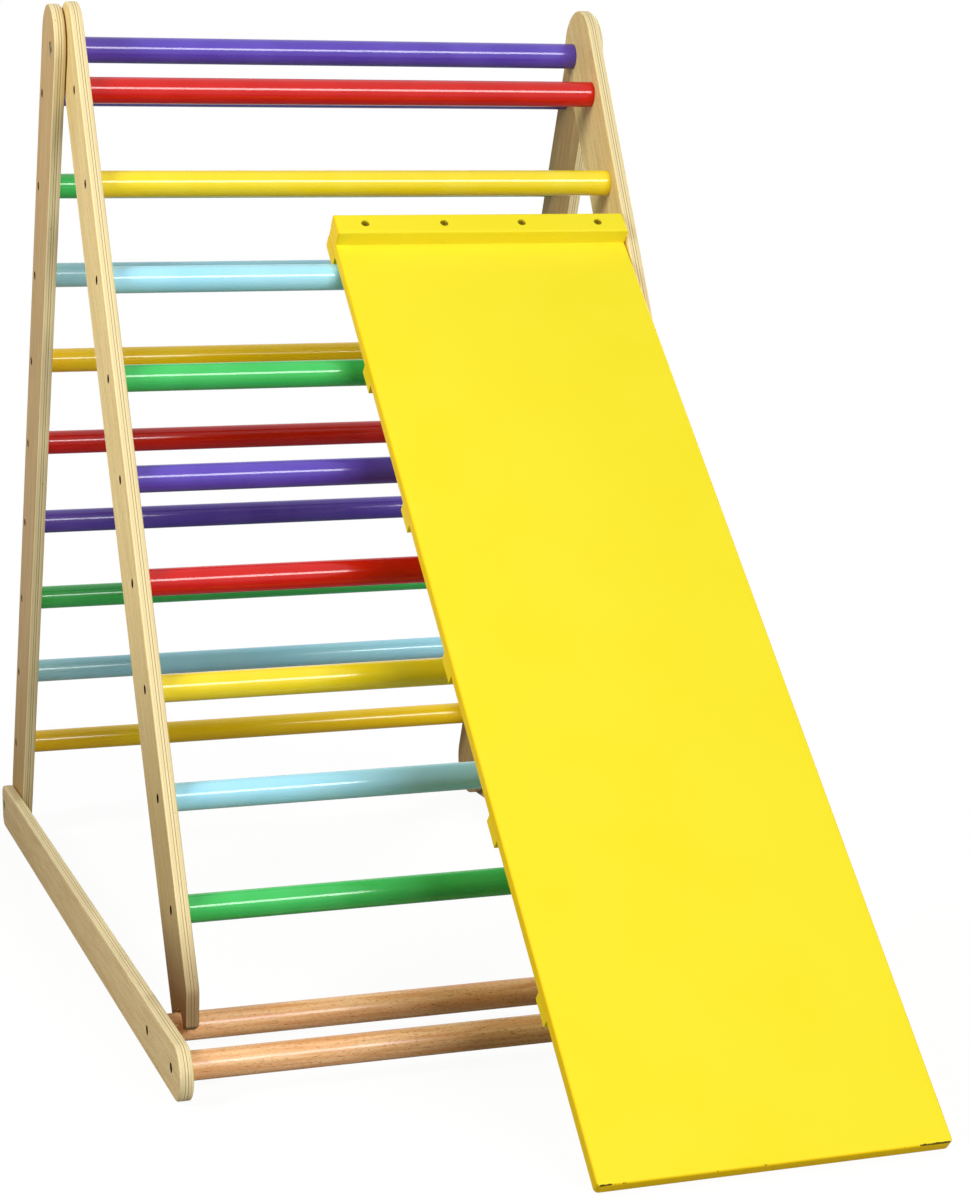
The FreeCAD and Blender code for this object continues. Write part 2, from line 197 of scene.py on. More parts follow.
# %% [markdown]
# ## The floor and the light
#
# The object stands on paper in a white studio. Paper could simply be lit until it is white, but
# then its bounce would flatten the round rungs from below. So the paper is grey as a source of
# light, and white where the camera looks at it. A share of the grey stays in the camera's view near
# the object and takes its faint shadow. Further off it fades to plain white, so that no horizon
# shows. The sky is treated the same way: white to the camera and to shiny surfaces, and dim as a
# source of light.

# %% Lay the floor
FLOOR_RADIUS = 40.0
FLOOR_SIDES = 96
FLOOR_DROP = 0.5 * MM       # keeps the paper just under the base bars

bpy.ops.object.select_all(action="DESELECT")
bpy.ops.mesh.primitive_circle_add(vertices=FLOOR_SIDES, radius=FLOOR_RADIUS, fill_type="NGON",
                                  location=(0, 0, -FLOOR_DROP))
floor = bpy.context.object
floor.name = "studio_floor"
print("floor of", FLOOR_RADIUS, "m radius")

# %% Paper for the floor
FADE_FROM, FADE_TO = 0.8, 2.4           # metres from the middle of the frame
NEAR_WHITE = 0.78           # the white's share of what the camera sees near the object
NEAR_STRENGTH = 1.20        # and its strength there, which makes up for the grey's share


def looks(tree):
    """Two outputs: 1 for the camera's rays, and 1 for them and those of shiny or clear surfaces."""
    rays = add_node(tree, "LightPath").outputs
    mirrored = add_node(tree, "Math", {0: rays["Is Glossy Ray"], 1: rays["Is Transmission Ray"]},
                        operation="MAXIMUM")
    either = add_node(tree, "Math", {0: rays["Is Camera Ray"], 1: mirrored.outputs[0]},
                      operation="MAXIMUM")
    return rays["Is Camera Ray"], either.outputs[0]


# Matt paper: no shine at all, white, with nothing on it but a soft shadow
paper, tree, place = new_material("studio paper")
distance = add_node(tree, "VectorMath", {0: place}, operation="LENGTH")
fade = add_node(tree, "MapRange", {"Value": distance.outputs["Value"], "From Min": FADE_FROM,
                                   "From Max": FADE_TO}, interpolation_type="SMOOTHSTEP").outputs[0]
camera_looks, anything_looks = looks(tree)
far = add_node(tree, "Math", {0: anything_looks, 1: fade}, operation="MULTIPLY")
near = add_node(tree, "MapRange", {"Value": fade, "To Min": NEAR_WHITE, "To Max": 1.0})
near = add_node(tree, "Math", {0: camera_looks, 1: near.outputs[0]}, operation="MULTIPLY")
share = add_node(tree, "Math", {0: far.outputs[0], 1: near.outputs[0]}, operation="MAXIMUM")
strength = add_node(tree, "MapRange", {"Value": fade, "To Min": NEAR_STRENGTH, "To Max": 1.0})
matt = add_node(tree, "BsdfDiffuse", {"Color": linear("#A0A09E")})
white = add_node(tree, "Emission", {"Color": WHITE, "Strength": strength.outputs[0]})
blend = add_node(tree, "MixShader", {0: share.outputs[0], 1: matt.outputs[0], 2: white.outputs[0]})
add_node(tree, "OutputMaterial", {"Surface": blend.outputs[0]})
floor.data.materials.append(paper)
print("paper fades to white", FADE_TO, "m from the middle")

# %% [markdown]
# Three softboxes light the frame. A wide strip in front on the right is the key: the round rungs
# mirror it towards the camera, and its image is the thin bright line along each of them. The ramp
# hides it from the rung ends beside it. A small box close by on the left lights the rails' outer
# faces, most at the top and less towards the feet, because light falls off quickly from a lamp that
# is near. A box behind on the right serves the other views: without it the back and the right side
# would be dark.

# %% Light the studio
SKY_LIGHT = 0.12            # the white sky as a source of light
AIM = Vector((0.0, -0.05, 0.42))

world = bpy.data.worlds.new("studio sky")
bpy.context.scene.world = world
world.use_nodes = True
tree = world.node_tree
tree.nodes.clear()
brightness = add_node(tree, "MapRange", {"Value": looks(tree)[1], "To Min": SKY_LIGHT,
                                         "To Max": 1.0})
sky = add_node(tree, "Background", {"Color": WHITE, "Strength": brightness.outputs[0]})
add_node(tree, "OutputWorld", {"Surface": sky.outputs[0]})
bpy.context.scene.view_settings.view_transform = "Standard"


def softbox(name, place, width, height, watts):
    """A rectangular lamp that looks at the middle of the frame."""
    bpy.ops.object.light_add(type="AREA", location=place)
    lamp = bpy.context.object
    lamp.name = name
    lamp.rotation_euler = (AIM - Vector(place)).to_track_quat("-Z", "Y").to_euler()
    lamp.data.shape = "RECTANGLE"
    lamp.data.size = width
    lamp.data.size_y = height
    lamp.data.energy = watts


softbox("key_softbox", place=(1.25, -4.6, 2.5), width=3.0, height=1.2, watts=183)
softbox("fill_softbox", place=(-1.7, -0.5, 1.5), width=0.8, height=0.8, watts=26)
softbox("back_softbox", place=(2.7, 2.2, 2.2), width=1.6, height=1.6, watts=90)

# %% [markdown]
# ## Birch plywood
#
# The rails and base bars are sawn from birch plywood and lacquered. Plywood is a stack of thin
# veneers whose grain turns a quarter at each layer, with a dark glue line between. Stripes could be
# painted on the edges only, but the pattern here is solid instead: the depth inside the board,
# counted from its inner face, says which veneer a point is in. So edges, rounded rims and screw
# holes all show the layers that a saw would find there, and the broad faces show the long grain of
# the outer veneer.

# %% Count the veneers
PLY_LAYERS = 5              # fewer than the real nine, so that each one shows at this distance
LAST_DEPTH = PLY_LAYERS - 0.001         # or the outer face would count as one layer more
GLUE_LINE = 0.18            # half of a glue line, as a share of a layer
GLUE_FAINT, GLUE_DARK = 0.2, 1.1        # the strength of a glue line lies between these


def veneers(tree, across, inner_face):
    """Three outputs for a point of a board: between its faces, in a turned veneer, and in glue."""
    sideways = add_node(tree, "Math", {0: across}, operation="ABSOLUTE")
    depth = add_node(tree, "MapRange", {
        "Value": sideways.outputs[0], "From Min": inner_face,
        "From Max": inner_face + PLY_THICKNESS, "To Max": LAST_DEPTH}).outputs[0]
    layer = add_node(tree, "Math", {0: depth}, operation="FLOOR")
    # Every second veneer is turned, and half a layer is the longest way to a glue line
    turned = add_node(tree, "Math", {0: layer.outputs[0], 1: 2.0}, operation="MODULO").outputs[0]
    to_joint = add_node(tree, "Math", {0: depth, 1: 0.5}, operation="PINGPONG")
    middle = PLY_LAYERS / 2
    inside = add_node(tree, "Math", {0: depth, 1: middle, 2: middle - GLUE_LINE},
                      operation="COMPARE").outputs[0]
    glue = add_node(tree, "MapRange", {"Value": to_joint.outputs[0], "From Max": GLUE_LINE,
                                       "To Min": 1.0, "To Max": 0.0})
    glue = add_node(tree, "Math", {0: glue.outputs[0], 1: inside}, operation="MULTIPLY")
    joint = add_node(tree, "Math", {0: depth}, operation="ROUND")
    darkness = add_node(tree, "TexWhiteNoise", {"W": joint.outputs[0]}, noise_dimensions="1D")
    darkness = add_node(tree, "MapRange", {"Value": darkness.outputs["Value"],
                                           "To Min": GLUE_FAINT, "To Max": GLUE_DARK})
    glue = add_node(tree, "Math", {0: glue.outputs[0], 1: darkness.outputs[0]},
                    operation="MULTIPLY").outputs[0]
    return inside, turned, glue


print("plywood layers of", round(PLY_THICKNESS / PLY_LAYERS / MM, 2), "mm")

# %% [markdown]
# Wood shows marks of many sizes, and each is noise that is narrow across the grain and long beside
# it. A Mapping node of the Texture type divides by its Scale, so the Scale is simply the size of
# one speck or streak in metres, and its Rotation lays the grain along a leaning rail.

# %% Grow the grain
GRAIN_MM = {                # the size of one mark: through the board, across the grain, along it
    "streak": (3.0, 3.0, 70),
    "figure": (22, 22, 260),
    "pore": (0.8, 0.8, 6),              # real pores are a tenth as wide, too fine to show
    "end": (0.5, 1.0, 1.0),
    "void": (2.4, 2.4, 9),              # gaps that the sheet's maker left in the inner veneers
}


def ply_grain(tree, place, lean):
    """The noise of each kind of mark, along boards that lean about X."""
    grain = {}
    for mark, sizes in GRAIN_MM.items():
        turn = add_node(tree, "Mapping", {"Vector": place, "Rotation": (lean, 0, 0),
                                          "Scale": [size * MM for size in sizes]},
                        vector_type="TEXTURE")
        noise = add_node(tree, "TexNoise", {"Vector": turn.outputs[0], "Scale": 1.0, "Detail": 3.0,
                                            "Roughness": 0.6, "Distortion": 0.2})
        grain[mark] = noise.outputs["Fac"]
    return grain


print("marks in the wood", sorted(GRAIN_MM))

# %% [markdown]
# The colour is built up as a painter would, each layer over the last: the outer veneer with its
# streaks, figure and pores, the end grain of the turned veneers, the paler cut of the saw, the glue
# and the voids. For each of them a mask says where it is, and a Mix node puts its colour there.

# %% Colour the plywood
# Where the noise starts to show, where it is full, how strong it then is, and its colour
STREAKS = (0.38, 0.68, 1.0)             # in the sheet's own deeper colour
FIGURE = (0.45, 0.70, 0.3, "#C49A5A")
PORES = (0.56, 0.72, 0.7, "#A98145")
SPECKS = (0.35, 0.70)
VOIDS = (0.69, 0.73)


def ply_colour(tree, grain, inside, turned, glue, pale, deep, sawn_share):
    """Clean plywood, from the outer veneer to the glue lines and voids in its edges."""
    veneer = linear(pale)
    for mark, (start, full, strength, colour) in (("streak", (*STREAKS, deep)), ("figure", FIGURE),
                                                  ("pore", PORES)):
        shown = add_node(tree, "MapRange", {"Value": grain[mark], "From Min": start,
                                            "From Max": full, "To Max": strength})
        veneer = add_node(tree, "Mix", {FACTOR: shown.outputs[0], COLOUR_A: veneer,
                                        COLOUR_B: linear(colour)}, data_type="RGBA").outputs[MIXED]
    specks = add_node(tree, "MapRange", {"Value": grain["end"], "From Min": SPECKS[0],
                                         "From Max": SPECKS[1]})
    end_grain = add_node(tree, "Mix", {FACTOR: specks.outputs[0], COLOUR_A: linear("#DEC68E"),
                                       COLOUR_B: linear("#CDAF74")}, data_type="RGBA")
    sawn = add_node(tree, "Math", {0: inside, 1: sawn_share}, operation="MULTIPLY")
    voids = add_node(tree, "MapRange", {"Value": grain["void"], "From Min": VOIDS[0],
                                        "From Max": VOIDS[1]})
    voids = add_node(tree, "Math", {0: voids.outputs[0], 1: turned}, operation="MULTIPLY")
    wood = veneer
    for shown, colour in ((turned, end_grain.outputs[MIXED]), (sawn.outputs[0], linear("#F8EBBA")),
                          (glue, linear("#84490C")), (voids.outputs[0], linear("#3E2A14"))):
        wood = add_node(tree, "Mix", {FACTOR: shown, COLOUR_A: wood, COLOUR_B: colour},
                        data_type="RGBA").outputs[MIXED]
    return wood


print("pores are", GRAIN_MM["pore"][2], "mm long")

# %% [markdown]
# Two marks are painted on. The front ladder's rails darken towards the floor, a blend by height: a
# broad one paints the shade low on their faces, and a stronger one darkens the feet. And the screw
# holes get painted shade: they come at even steps, so a Ping-Pong node can fold a whole row of them
# into one, and the distance from that one is the mask.

# %% Darken the rails towards the floor and paint shade in the screw holes
# Darkening towards the floor, the broad one painted shade: how high each starts, its strength on
# the faces, and the edges' share
FLOOR_DARKENING = ((420 * MM, 0.4, 0.0), (140 * MM, 0.9, 0.75))
DARKENING_FULL = 0.35           # the share of that height up to which the darkening is full
HOLE_RADIUS = 4.15 * MM
HOLE_RIM = 0.6 * MM         # how far the painted shade reaches round a hole


def darken_towards_floor(tree, wood, height, inside):
    """Wood that is darker near the floor, less so on its edges."""
    # the broad darkening is painted shade low on the faces; the lower one darkens the feet
    for top, strength, edge_share in FLOOR_DARKENING:
        low = add_node(tree, "MapRange", {"Value": height, "From Min": top * DARKENING_FULL,
                                          "From Max": top, "To Min": strength, "To Max": 0.0},
                       interpolation_type="SMOOTHSTEP")
        bare = add_node(tree, "MapRange", {"Value": inside, "To Min": 1.0, "To Max": edge_share})
        darkening = add_node(tree, "Math", {0: low.outputs[0], 1: bare.outputs[0]},
                         operation="MULTIPLY")
        wood = add_node(tree, "Mix", {FACTOR: darkening.outputs[0], COLOUR_A: wood,
                                      COLOUR_B: linear("#613614")}, data_type="RGBA").outputs[MIXED]
    return wood


def shaded_screw_holes(tree, wood, place, lean, screws):
    """Painted shade in a row of screw holes; screws are the row's first and last rod and their
    number.
    """
    first, last, count = screws
    step = (centre(first) - centre(last)).length / (count - 1)
    row = add_node(tree, "Mapping", {"Vector": place, "Location": centre(first),
                                     "Rotation": (lean, 0, 0)}, vector_type="TEXTURE")
    row = add_node(tree, "SeparateXYZ", {0: row.outputs[0]}).outputs
    folded = add_node(tree, "Math", {0: row["Z"], 1: step / 2}, operation="PINGPONG")
    in_row = add_node(tree, "Math", {0: row["Z"], 1: -step * (count - 1) / 2, 2: step * count / 2},
                      operation="COMPARE")
    to_screw = add_node(tree, "CombineXYZ", {"Y": row["Y"], "Z": folded.outputs[0]})
    to_screw = add_node(tree, "VectorMath", {0: to_screw.outputs[0]}, operation="LENGTH")
    painted_shade = add_node(tree, "MapRange", {
        "Value": to_screw.outputs["Value"], "From Min": HOLE_RADIUS,
        "From Max": HOLE_RADIUS + HOLE_RIM, "To Min": 1.0, "To Max": 0.0})
    painted_shade = add_node(tree, "Math", {0: painted_shade.outputs[0], 1: in_row.outputs[0]}, operation="MULTIPLY")
    # the screw holes are darkened with painted shade
    return add_node(tree, "Mix", {FACTOR: painted_shade.outputs[0], COLOUR_A: wood,
                                  COLOUR_B: linear("#3A2A18")}, data_type="RGBA").outputs[MIXED]


# where the darkening towards the floor starts, the broad part of it being painted shade
print("darkening starts", [round(top / MM) for top, _, _ in FLOOR_DARKENING], "mm above the floor")

# %% [markdown]
# Now the parts come together in one material. The lacquer is thin and satin, so the gloss varies
# from streak to streak, and pores and glue lines are slightly sunk. Sawn edges are paler than the
# lacquered faces. The front ladder's veneer is lifted to a paler yellow as painted light, and the
# rear ladder's is browner and deeper as painted shade.

# %% Plywood material
PLY_SMOOTH, PLY_ROUGH = 0.42, 0.58      # the lacquer's roughness lies between these
PLY_SHINE = 0.1
PLY_BUMP, PLY_RELIEF = 0.25, 0.15 * MM


# Lacquered birch plywood: pale, softly shining faces with fine long grain, and edges with dark
# stripes
def birch_plywood(name, board, lean, screws, pale, deep, sawn_share, darkened_low=False):
    """Lacquered birch plywood for boards like the given right-hand one, which lean about X."""
    material, tree, place = new_material(name)
    axes = add_node(tree, "SeparateXYZ", {0: place}).outputs
    inside, turned, glue = veneers(tree, axes["X"], inner_face=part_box(board)[0].x)
    grain = ply_grain(tree, place, lean)
    wood = ply_colour(tree, grain, inside, turned, glue, pale, deep, sawn_share)
    # darker towards the floor, the broad part painted shade
    if darkened_low:
        wood = darken_towards_floor(tree, wood, axes["Z"], inside)
    # painted shade in the screw holes
    wood = shaded_screw_holes(tree, wood, place, lean, screws)
    gloss = add_node(tree, "MapRange", {"Value": grain["streak"], "To Min": PLY_SMOOTH,
                                        "To Max": PLY_ROUGH})
    relief = add_node(tree, "Math", {0: grain["pore"], 1: glue}, operation="SUBTRACT")
    bump = add_node(tree, "Bump", {"Strength": PLY_BUMP, "Distance": PLY_RELIEF,
                                   "Height": relief.outputs[0]})
    finish_material(tree, {"Base Color": wood, "Roughness": gloss.outputs[0],
                           "Specular IOR Level": PLY_SHINE, "Normal": bump.outputs[0]})
    return material


# The front ladder's veneer is lifted to a paler yellow as painted light
front_ply = birch_plywood(
    "lacquered birch plywood, front ladder", "front_rail_right", front_lean,
    ("front_rung_1", f"front_rung_{RUNG_COUNT}", RUNG_COUNT),
    pale="#F5DC98", deep="#E6C57F", sawn_share=0.65, darkened_low=True)
# The rear ladder's veneer is browner and deeper as painted shade
rear_ply = birch_plywood(
    "lacquered birch plywood, rear ladder", "rear_rail_right", rear_lean,
    ("rear_rung_1", f"rear_rung_{RUNG_COUNT}", RUNG_COUNT),
    pale="#CBAA6E", deep="#B99256", sawn_share=0.75)
base_ply = birch_plywood(
    "lacquered birch plywood, base bars", "base_bar_right", math.pi / 2,
    ("front_dowel", "hook_dowel", 2),
    pale="#F3D9A0", deep="#E3C188", sawn_share=0.65)
print("plywood of", len(front_ply.node_tree.nodes), "nodes with stains and",
      len(rear_ply.node_tree.nodes), "without")

# %% [markdown]
# ## Gloss paint on the rungs
#
# The rungs are beech rods dipped in coloured gloss paint. Paint is not quite flat: it pulls into a
# faint orange peel, lies a little thinner in places, and picks up fine rub marks along the rod.
# Noise gives all three, each at its own size. The gloss itself comes from a low roughness and the
# lamps.

# %% Paint material
PEEL_MM = 6.0               # drawn coarse, as real orange peel of about 1 mm would not show
PEEL_BUMP, PEEL_RELIEF = 0.012, 0.08 * MM
THIN_MM = 45.0
THIN_FROM, THIN_TO = 0.40, 0.75         # the noise between which the paint thins
RUB_MM = (60, 1.6, 1.6)
RUB_FROM, RUB_TO = 0.35, 0.75
PAINT_SMOOTH, PAINT_RUBBED = 0.13, 0.17
PAINT_IOR, PAINT_SHINE = 1.42, 0.58


# Gloss paint on wood: a strong, even colour under one sharp, bright line of light
def gloss_paint(name, colour, thin_colour):
    """Gloss paint with orange peel, thinner places and rub marks along X."""
    material, tree, place = new_material(name)
    thin = add_node(tree, "TexNoise", {"Vector": place, "Scale": 1 / (THIN_MM * MM), "Detail": 2.0})
    thin = add_node(tree, "MapRange", {"Value": thin.outputs["Fac"], "From Min": THIN_FROM,
                                       "From Max": THIN_TO})
    coat = add_node(tree, "Mix", {FACTOR: thin.outputs[0], COLOUR_A: linear(colour),
                                  COLOUR_B: linear(thin_colour)}, data_type="RGBA")
    along = add_node(tree, "Mapping", {"Vector": place, "Scale": [size * MM for size in RUB_MM]},
                     vector_type="TEXTURE")
    rub = add_node(tree, "TexNoise", {"Vector": along.outputs[0], "Scale": 1.0, "Detail": 4.0})
    gloss = add_node(tree, "MapRange", {"Value": rub.outputs["Fac"], "From Min": RUB_FROM,
                                        "From Max": RUB_TO, "To Min": PAINT_SMOOTH,
                                        "To Max": PAINT_RUBBED})
    peel = add_node(tree, "TexNoise", {"Vector": place, "Scale": 1 / (PEEL_MM * MM), "Detail": 1.0})
    bump = add_node(tree, "Bump", {"Strength": PEEL_BUMP, "Distance": PEEL_RELIEF,
                                   "Height": peel.outputs["Fac"]})
    finish_material(tree, {"Base Color": coat.outputs[MIXED], "Roughness": gloss.outputs[0],
                           "IOR": PAINT_IOR, "Specular IOR Level": PAINT_SHINE,
                           "Normal": bump.outputs[0]})
    return material


paints = {
    "paint_purple": gloss_paint("purple gloss paint", "#5C44B8", "#6650C2"),
    "paint_red": gloss_paint("red gloss paint", "#D21108", "#D91B12"),
    "paint_yellow": gloss_paint("yellow gloss paint", "#FBE022", "#FCE636"),
    "paint_light_blue": gloss_paint("light blue gloss paint", "#A6E7FE", "#B0ECFF"),
    "paint_green": gloss_paint("green gloss paint", "#3EC65E", "#4ACE6A"),
}
# The same yellow made deeper and more golden, as painted shade for the rear rungs
yellow_in_painted_shade = gloss_paint("deep yellow gloss paint, painted shade", "#FFD20A", "#FFD818")
print("paints", sorted(paints))

# %% [markdown]
# ## Oiled beech
#
# The two rods of the base frame are bare beech. Beech is reddish brown with straight grain, and its
# rays show as many short dark flecks. Both run along the rod, so the noise is stretched along X.

# %% Beech material
BEECH_GRAIN_MM = (70, 3.5, 3.5)
GRAIN_FROM, GRAIN_TO = 0.33, 0.67       # the noise between which the grain darkens
FLECK_MM = (4.0, 0.7, 0.7)  # a little coarser than real ones, which would not show
FLECK_FROM, FLECK_TO, FLECK_STRENGTH = 0.57, 0.69, 0.75
FLECK_BUMP, FLECK_RELIEF = 0.2, 0.1 * MM
BEECH_SMOOTH, BEECH_ROUGH = 0.18, 0.34
BEECH_IOR, BEECH_SHINE = 1.5, 0.5


# Oiled beech: a warm, flecked brown with a broad, soft shine
def oiled_beech(name):
    """Beech rods along X with straight grain and ray flecks."""
    material, tree, place = new_material(name)
    noise = {}
    for mark, sizes in (("grain", BEECH_GRAIN_MM), ("fleck", FLECK_MM)):
        along = add_node(tree, "Mapping", {"Vector": place, "Scale": [size * MM for size in sizes]},
                         vector_type="TEXTURE")
        noise[mark] = add_node(tree, "TexNoise", {"Vector": along.outputs[0], "Scale": 1.0,
                                                  "Detail": 3.0, "Distortion": 0.3}).outputs["Fac"]
    grain = add_node(tree, "MapRange", {"Value": noise["grain"], "From Min": GRAIN_FROM,
                                        "From Max": GRAIN_TO})
    wood = add_node(tree, "Mix", {FACTOR: grain.outputs[0], COLOUR_A: linear("#FECF98"),
                                  COLOUR_B: linear("#E7A468")}, data_type="RGBA")
    flecks = add_node(tree, "MapRange", {"Value": noise["fleck"], "From Min": FLECK_FROM,
                                         "From Max": FLECK_TO, "To Max": FLECK_STRENGTH})
    wood = add_node(tree, "Mix", {FACTOR: flecks.outputs[0], COLOUR_A: wood.outputs[MIXED],
                                  COLOUR_B: linear("#94562A")}, data_type="RGBA")
    gloss = add_node(tree, "MapRange", {"Value": noise["grain"], "To Min": BEECH_SMOOTH,
                                        "To Max": BEECH_ROUGH})
    bump = add_node(tree, "Bump", {"Strength": FLECK_BUMP, "Distance": FLECK_RELIEF,
                                   "Height": noise["fleck"]})
    finish_material(tree, {"Base Color": wood.outputs[MIXED], "Roughness": gloss.outputs[0],
                           "IOR": BEECH_IOR, "Specular IOR Level": BEECH_SHINE,
                           "Normal": bump.outputs[0]})
    return material


beech = oiled_beech("oiled beech")
print("beech flecks about", FLECK_MM[0], "mm long")

# %% [markdown]
# ## The ramp's paint
#
# The ramp is painted a warm yellow, satin rather than gloss, over a board whose grain still shows
# as faint ridges. Its toe stands on the floor and its paint is chipped there, down to the dark
# wood. The wear is a mask in the ramp's own directions: a Mapping node puts the origin at the toe's
# left corner and turns the axes to the slope, so a point's distance from the toe's edges is easy to
# work out.

# %% Find the ramp's own directions
ramp_low, ramp_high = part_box("ramp_board")
ramp_width = ramp_high.x - ramp_low.x
ramp_rise = ramp_high.z - ramp_low.z - PLY_THICKNESS * math.cos(ramp_slope)
ramp_length = ramp_rise / math.sin(ramp_slope)
ramp_along = Vector((0, math.cos(ramp_slope), math.sin(ramp_slope)))
ramp_up = Vector((0, -math.sin(ramp_slope), math.cos(ramp_slope)))
ramp_middle = centre("ramp_board")
toe_corner = ramp_middle - ramp_along * ramp_length / 2 - ramp_up * PLY_THICKNESS / 2
toe_corner.x = ramp_low.x
print("ramp", round(ramp_width, 4), "by", round(ramp_length, 4), "m, toe at",
      [round(c, 4) for c in toe_corner])

# %% Masks for the painted shade on the ramp's sides and its worn toe
SHADED_SIDE_REACH = 1.6 * MM        # how far in from the sides and toe the yellow is deepened as painted shade
EDGE_WEAR = 1.8 * MM        # how far the wear reaches from the toe's upper edge
LEFT_WEAR, RIGHT_WEAR = 32 * MM, 38 * MM        # and how far along that edge from its two ends
LEFT_WORN, MIDDLE_WORN, RIGHT_WORN = 0.45, 0.12, 0.5
FULL_SHARE = 0.4            # the painted side shade and the wear are full up to this share of their reach
CHIP_MM = 5.0
CHIP_FROM, CHIP_TO = 0.74, 0.80         # where noise and wear together break the paint


def shaded_sides_of_ramp(tree, axes):
    """1 at the board's sides and toe, where painted shade deepens the yellow, and 0 further in."""
    from_side = add_node(tree, "Math", {0: axes["X"], 1: ramp_width / 2}, operation="PINGPONG")
    from_rim = add_node(tree, "Math", {0: from_side.outputs[0], 1: axes["Y"]}, operation="MINIMUM")
    return add_node(tree, "MapRange", {
        "Value": from_rim.outputs[0], "From Min": SHADED_SIDE_REACH * FULL_SHARE, "From Max": SHADED_SIDE_REACH,
        "To Min": 1.0, "To Max": 0.0}).outputs[0]


def chips_at_toe(tree, local, axes):
    """1 where the paint is chipped off: along the toe's upper edge, most near its two ends."""
    below_top = add_node(tree, "Math", {0: PLY_THICKNESS, 1: axes["Z"]}, operation="SUBTRACT")
    to_edge = add_node(tree, "CombineXYZ", {"Y": axes["Y"], "Z": below_top.outputs[0]})
    to_edge = add_node(tree, "VectorMath", {0: to_edge.outputs[0]}, operation="LENGTH")
    edge = add_node(tree, "MapRange", {
        "Value": to_edge.outputs["Value"], "From Min": EDGE_WEAR * FULL_SHARE,
        "From Max": EDGE_WEAR, "To Min": 1.0, "To Max": 0.0}).outputs[0]
    left = add_node(tree, "MapRange", {"Value": axes["X"], "From Max": LEFT_WEAR,
                                       "To Min": LEFT_WORN, "To Max": MIDDLE_WORN})
    right = add_node(tree, "MapRange", {"Value": axes["X"], "From Min": ramp_width - RIGHT_WEAR,
                                        "From Max": ramp_width, "To Max": RIGHT_WORN})
    wear = add_node(tree, "Math", {0: left.outputs[0], 1: right.outputs[0]}, operation="ADD")
    wear = add_node(tree, "Math", {0: wear.outputs[0], 1: edge}, operation="MULTIPLY")
    chips = add_node(tree, "TexNoise", {"Vector": local, "Scale": 1 / (CHIP_MM * MM), "Detail": 4.0,
                                        "Roughness": 0.65})
    chips = add_node(tree, "Math", {0: chips.outputs["Fac"], 1: wear.outputs[0]}, operation="ADD")
    chips = add_node(tree, "MapRange", {"Value": chips.outputs[0], "From Min": CHIP_FROM,
                                        "From Max": CHIP_TO})
    at_edge = add_node(tree, "Math", {0: edge}, operation="SIGN")
    return add_node(tree, "Math", {0: chips.outputs[0], 1: at_edge.outputs[0]},
                    operation="MULTIPLY").outputs[0]


print("toe wear runs", round(LEFT_WEAR / MM), "and", round(RIGHT_WEAR / MM), "mm along the edge")

# %% Ramp paint material
RAMP_GRAIN_MM = (3.0, 160, 3.0)
CLOUD_MM = 90.0             # slow changes of the paint's thickness
CLOUD_FROM, CLOUD_TO = 0.35, 0.70
RAMP_SATIN, CHIP_ROUGH = 0.42, 0.8
RAMP_BUMP, RAMP_RELIEF = 0.2, 0.12 * MM
RAMP_IOR, RAMP_SHINE = 1.5, 0.08


# Satin paint on wood: a clear, even colour that hardly mirrors, deepened on the sides and toe as
# painted shade and broken where it has chipped
def satin_yellow(name):
    """Satin yellow paint over grain, deeper at the sides and toe as painted shade, and chipped at
    the ramp's toe.
    """
    material, tree, place = new_material(name)
    local = add_node(tree, "Mapping", {"Vector": place, "Location": toe_corner,
                                       "Rotation": (ramp_slope, 0, 0)},
                     vector_type="TEXTURE").outputs[0]
    axes = add_node(tree, "SeparateXYZ", {0: local}).outputs
    along = add_node(tree, "Mapping", {"Vector": local,
                                       "Scale": [size * MM for size in RAMP_GRAIN_MM]},
                     vector_type="TEXTURE")
    grain = add_node(tree, "TexNoise", {"Vector": along.outputs[0], "Scale": 1.0, "Detail": 3.0})
    clouds = add_node(tree, "TexNoise", {"Vector": local, "Scale": 1 / (CLOUD_MM * MM),
                                         "Detail": 2.0})
    clouds = add_node(tree, "MapRange", {"Value": clouds.outputs["Fac"], "From Min": CLOUD_FROM,
                                         "From Max": CLOUD_TO})
    chips = chips_at_toe(tree, local, axes)
    coat = linear("#FAE934")
    # the sides and toe get a deeper yellow as painted shade
    for shown, colour in ((clouds.outputs[0], "#F9E72D"), (shaded_sides_of_ramp(tree, axes), "#FFD60A"),
                          (chips, "#5E4A1C")):
        coat = add_node(tree, "Mix", {FACTOR: shown, COLOUR_A: coat, COLOUR_B: linear(colour)},
                        data_type="RGBA").outputs[MIXED]
    gloss = add_node(tree, "MapRange", {"Value": chips, "To Min": RAMP_SATIN, "To Max": CHIP_ROUGH})
    relief = add_node(tree, "Math", {0: grain.outputs["Fac"], 1: chips}, operation="SUBTRACT")
    bump = add_node(tree, "Bump", {"Strength": RAMP_BUMP, "Distance": RAMP_RELIEF,
                                   "Height": relief.outputs[0]})
    finish_material(tree, {"Base Color": coat, "Roughness": gloss.outputs[0], "IOR": RAMP_IOR,
                           "Specular IOR Level": RAMP_SHINE, "Normal": bump.outputs[0]})
    return material


ramp_paint = satin_yellow("satin yellow paint")
print("ramp paint of", len(ramp_paint.node_tree.nodes), "nodes")

# %% [markdown]
# ## Screws, bolts and washers
#
# The screw heads sit a little below the wood, and their colour is made dark as painted shade, so
# they read as small dark dots. The ramp's screws were painted over, and their yellow is darkened to
# olive as painted shade in their holes. Only the pivot bolts still shine. A fine blotch pattern
# does for all three, so one function makes them. What differs is kept in two small sets of shader
# sockets: a matt head mirrors nothing, and a bare one is a rough metal. The washers are nylon.

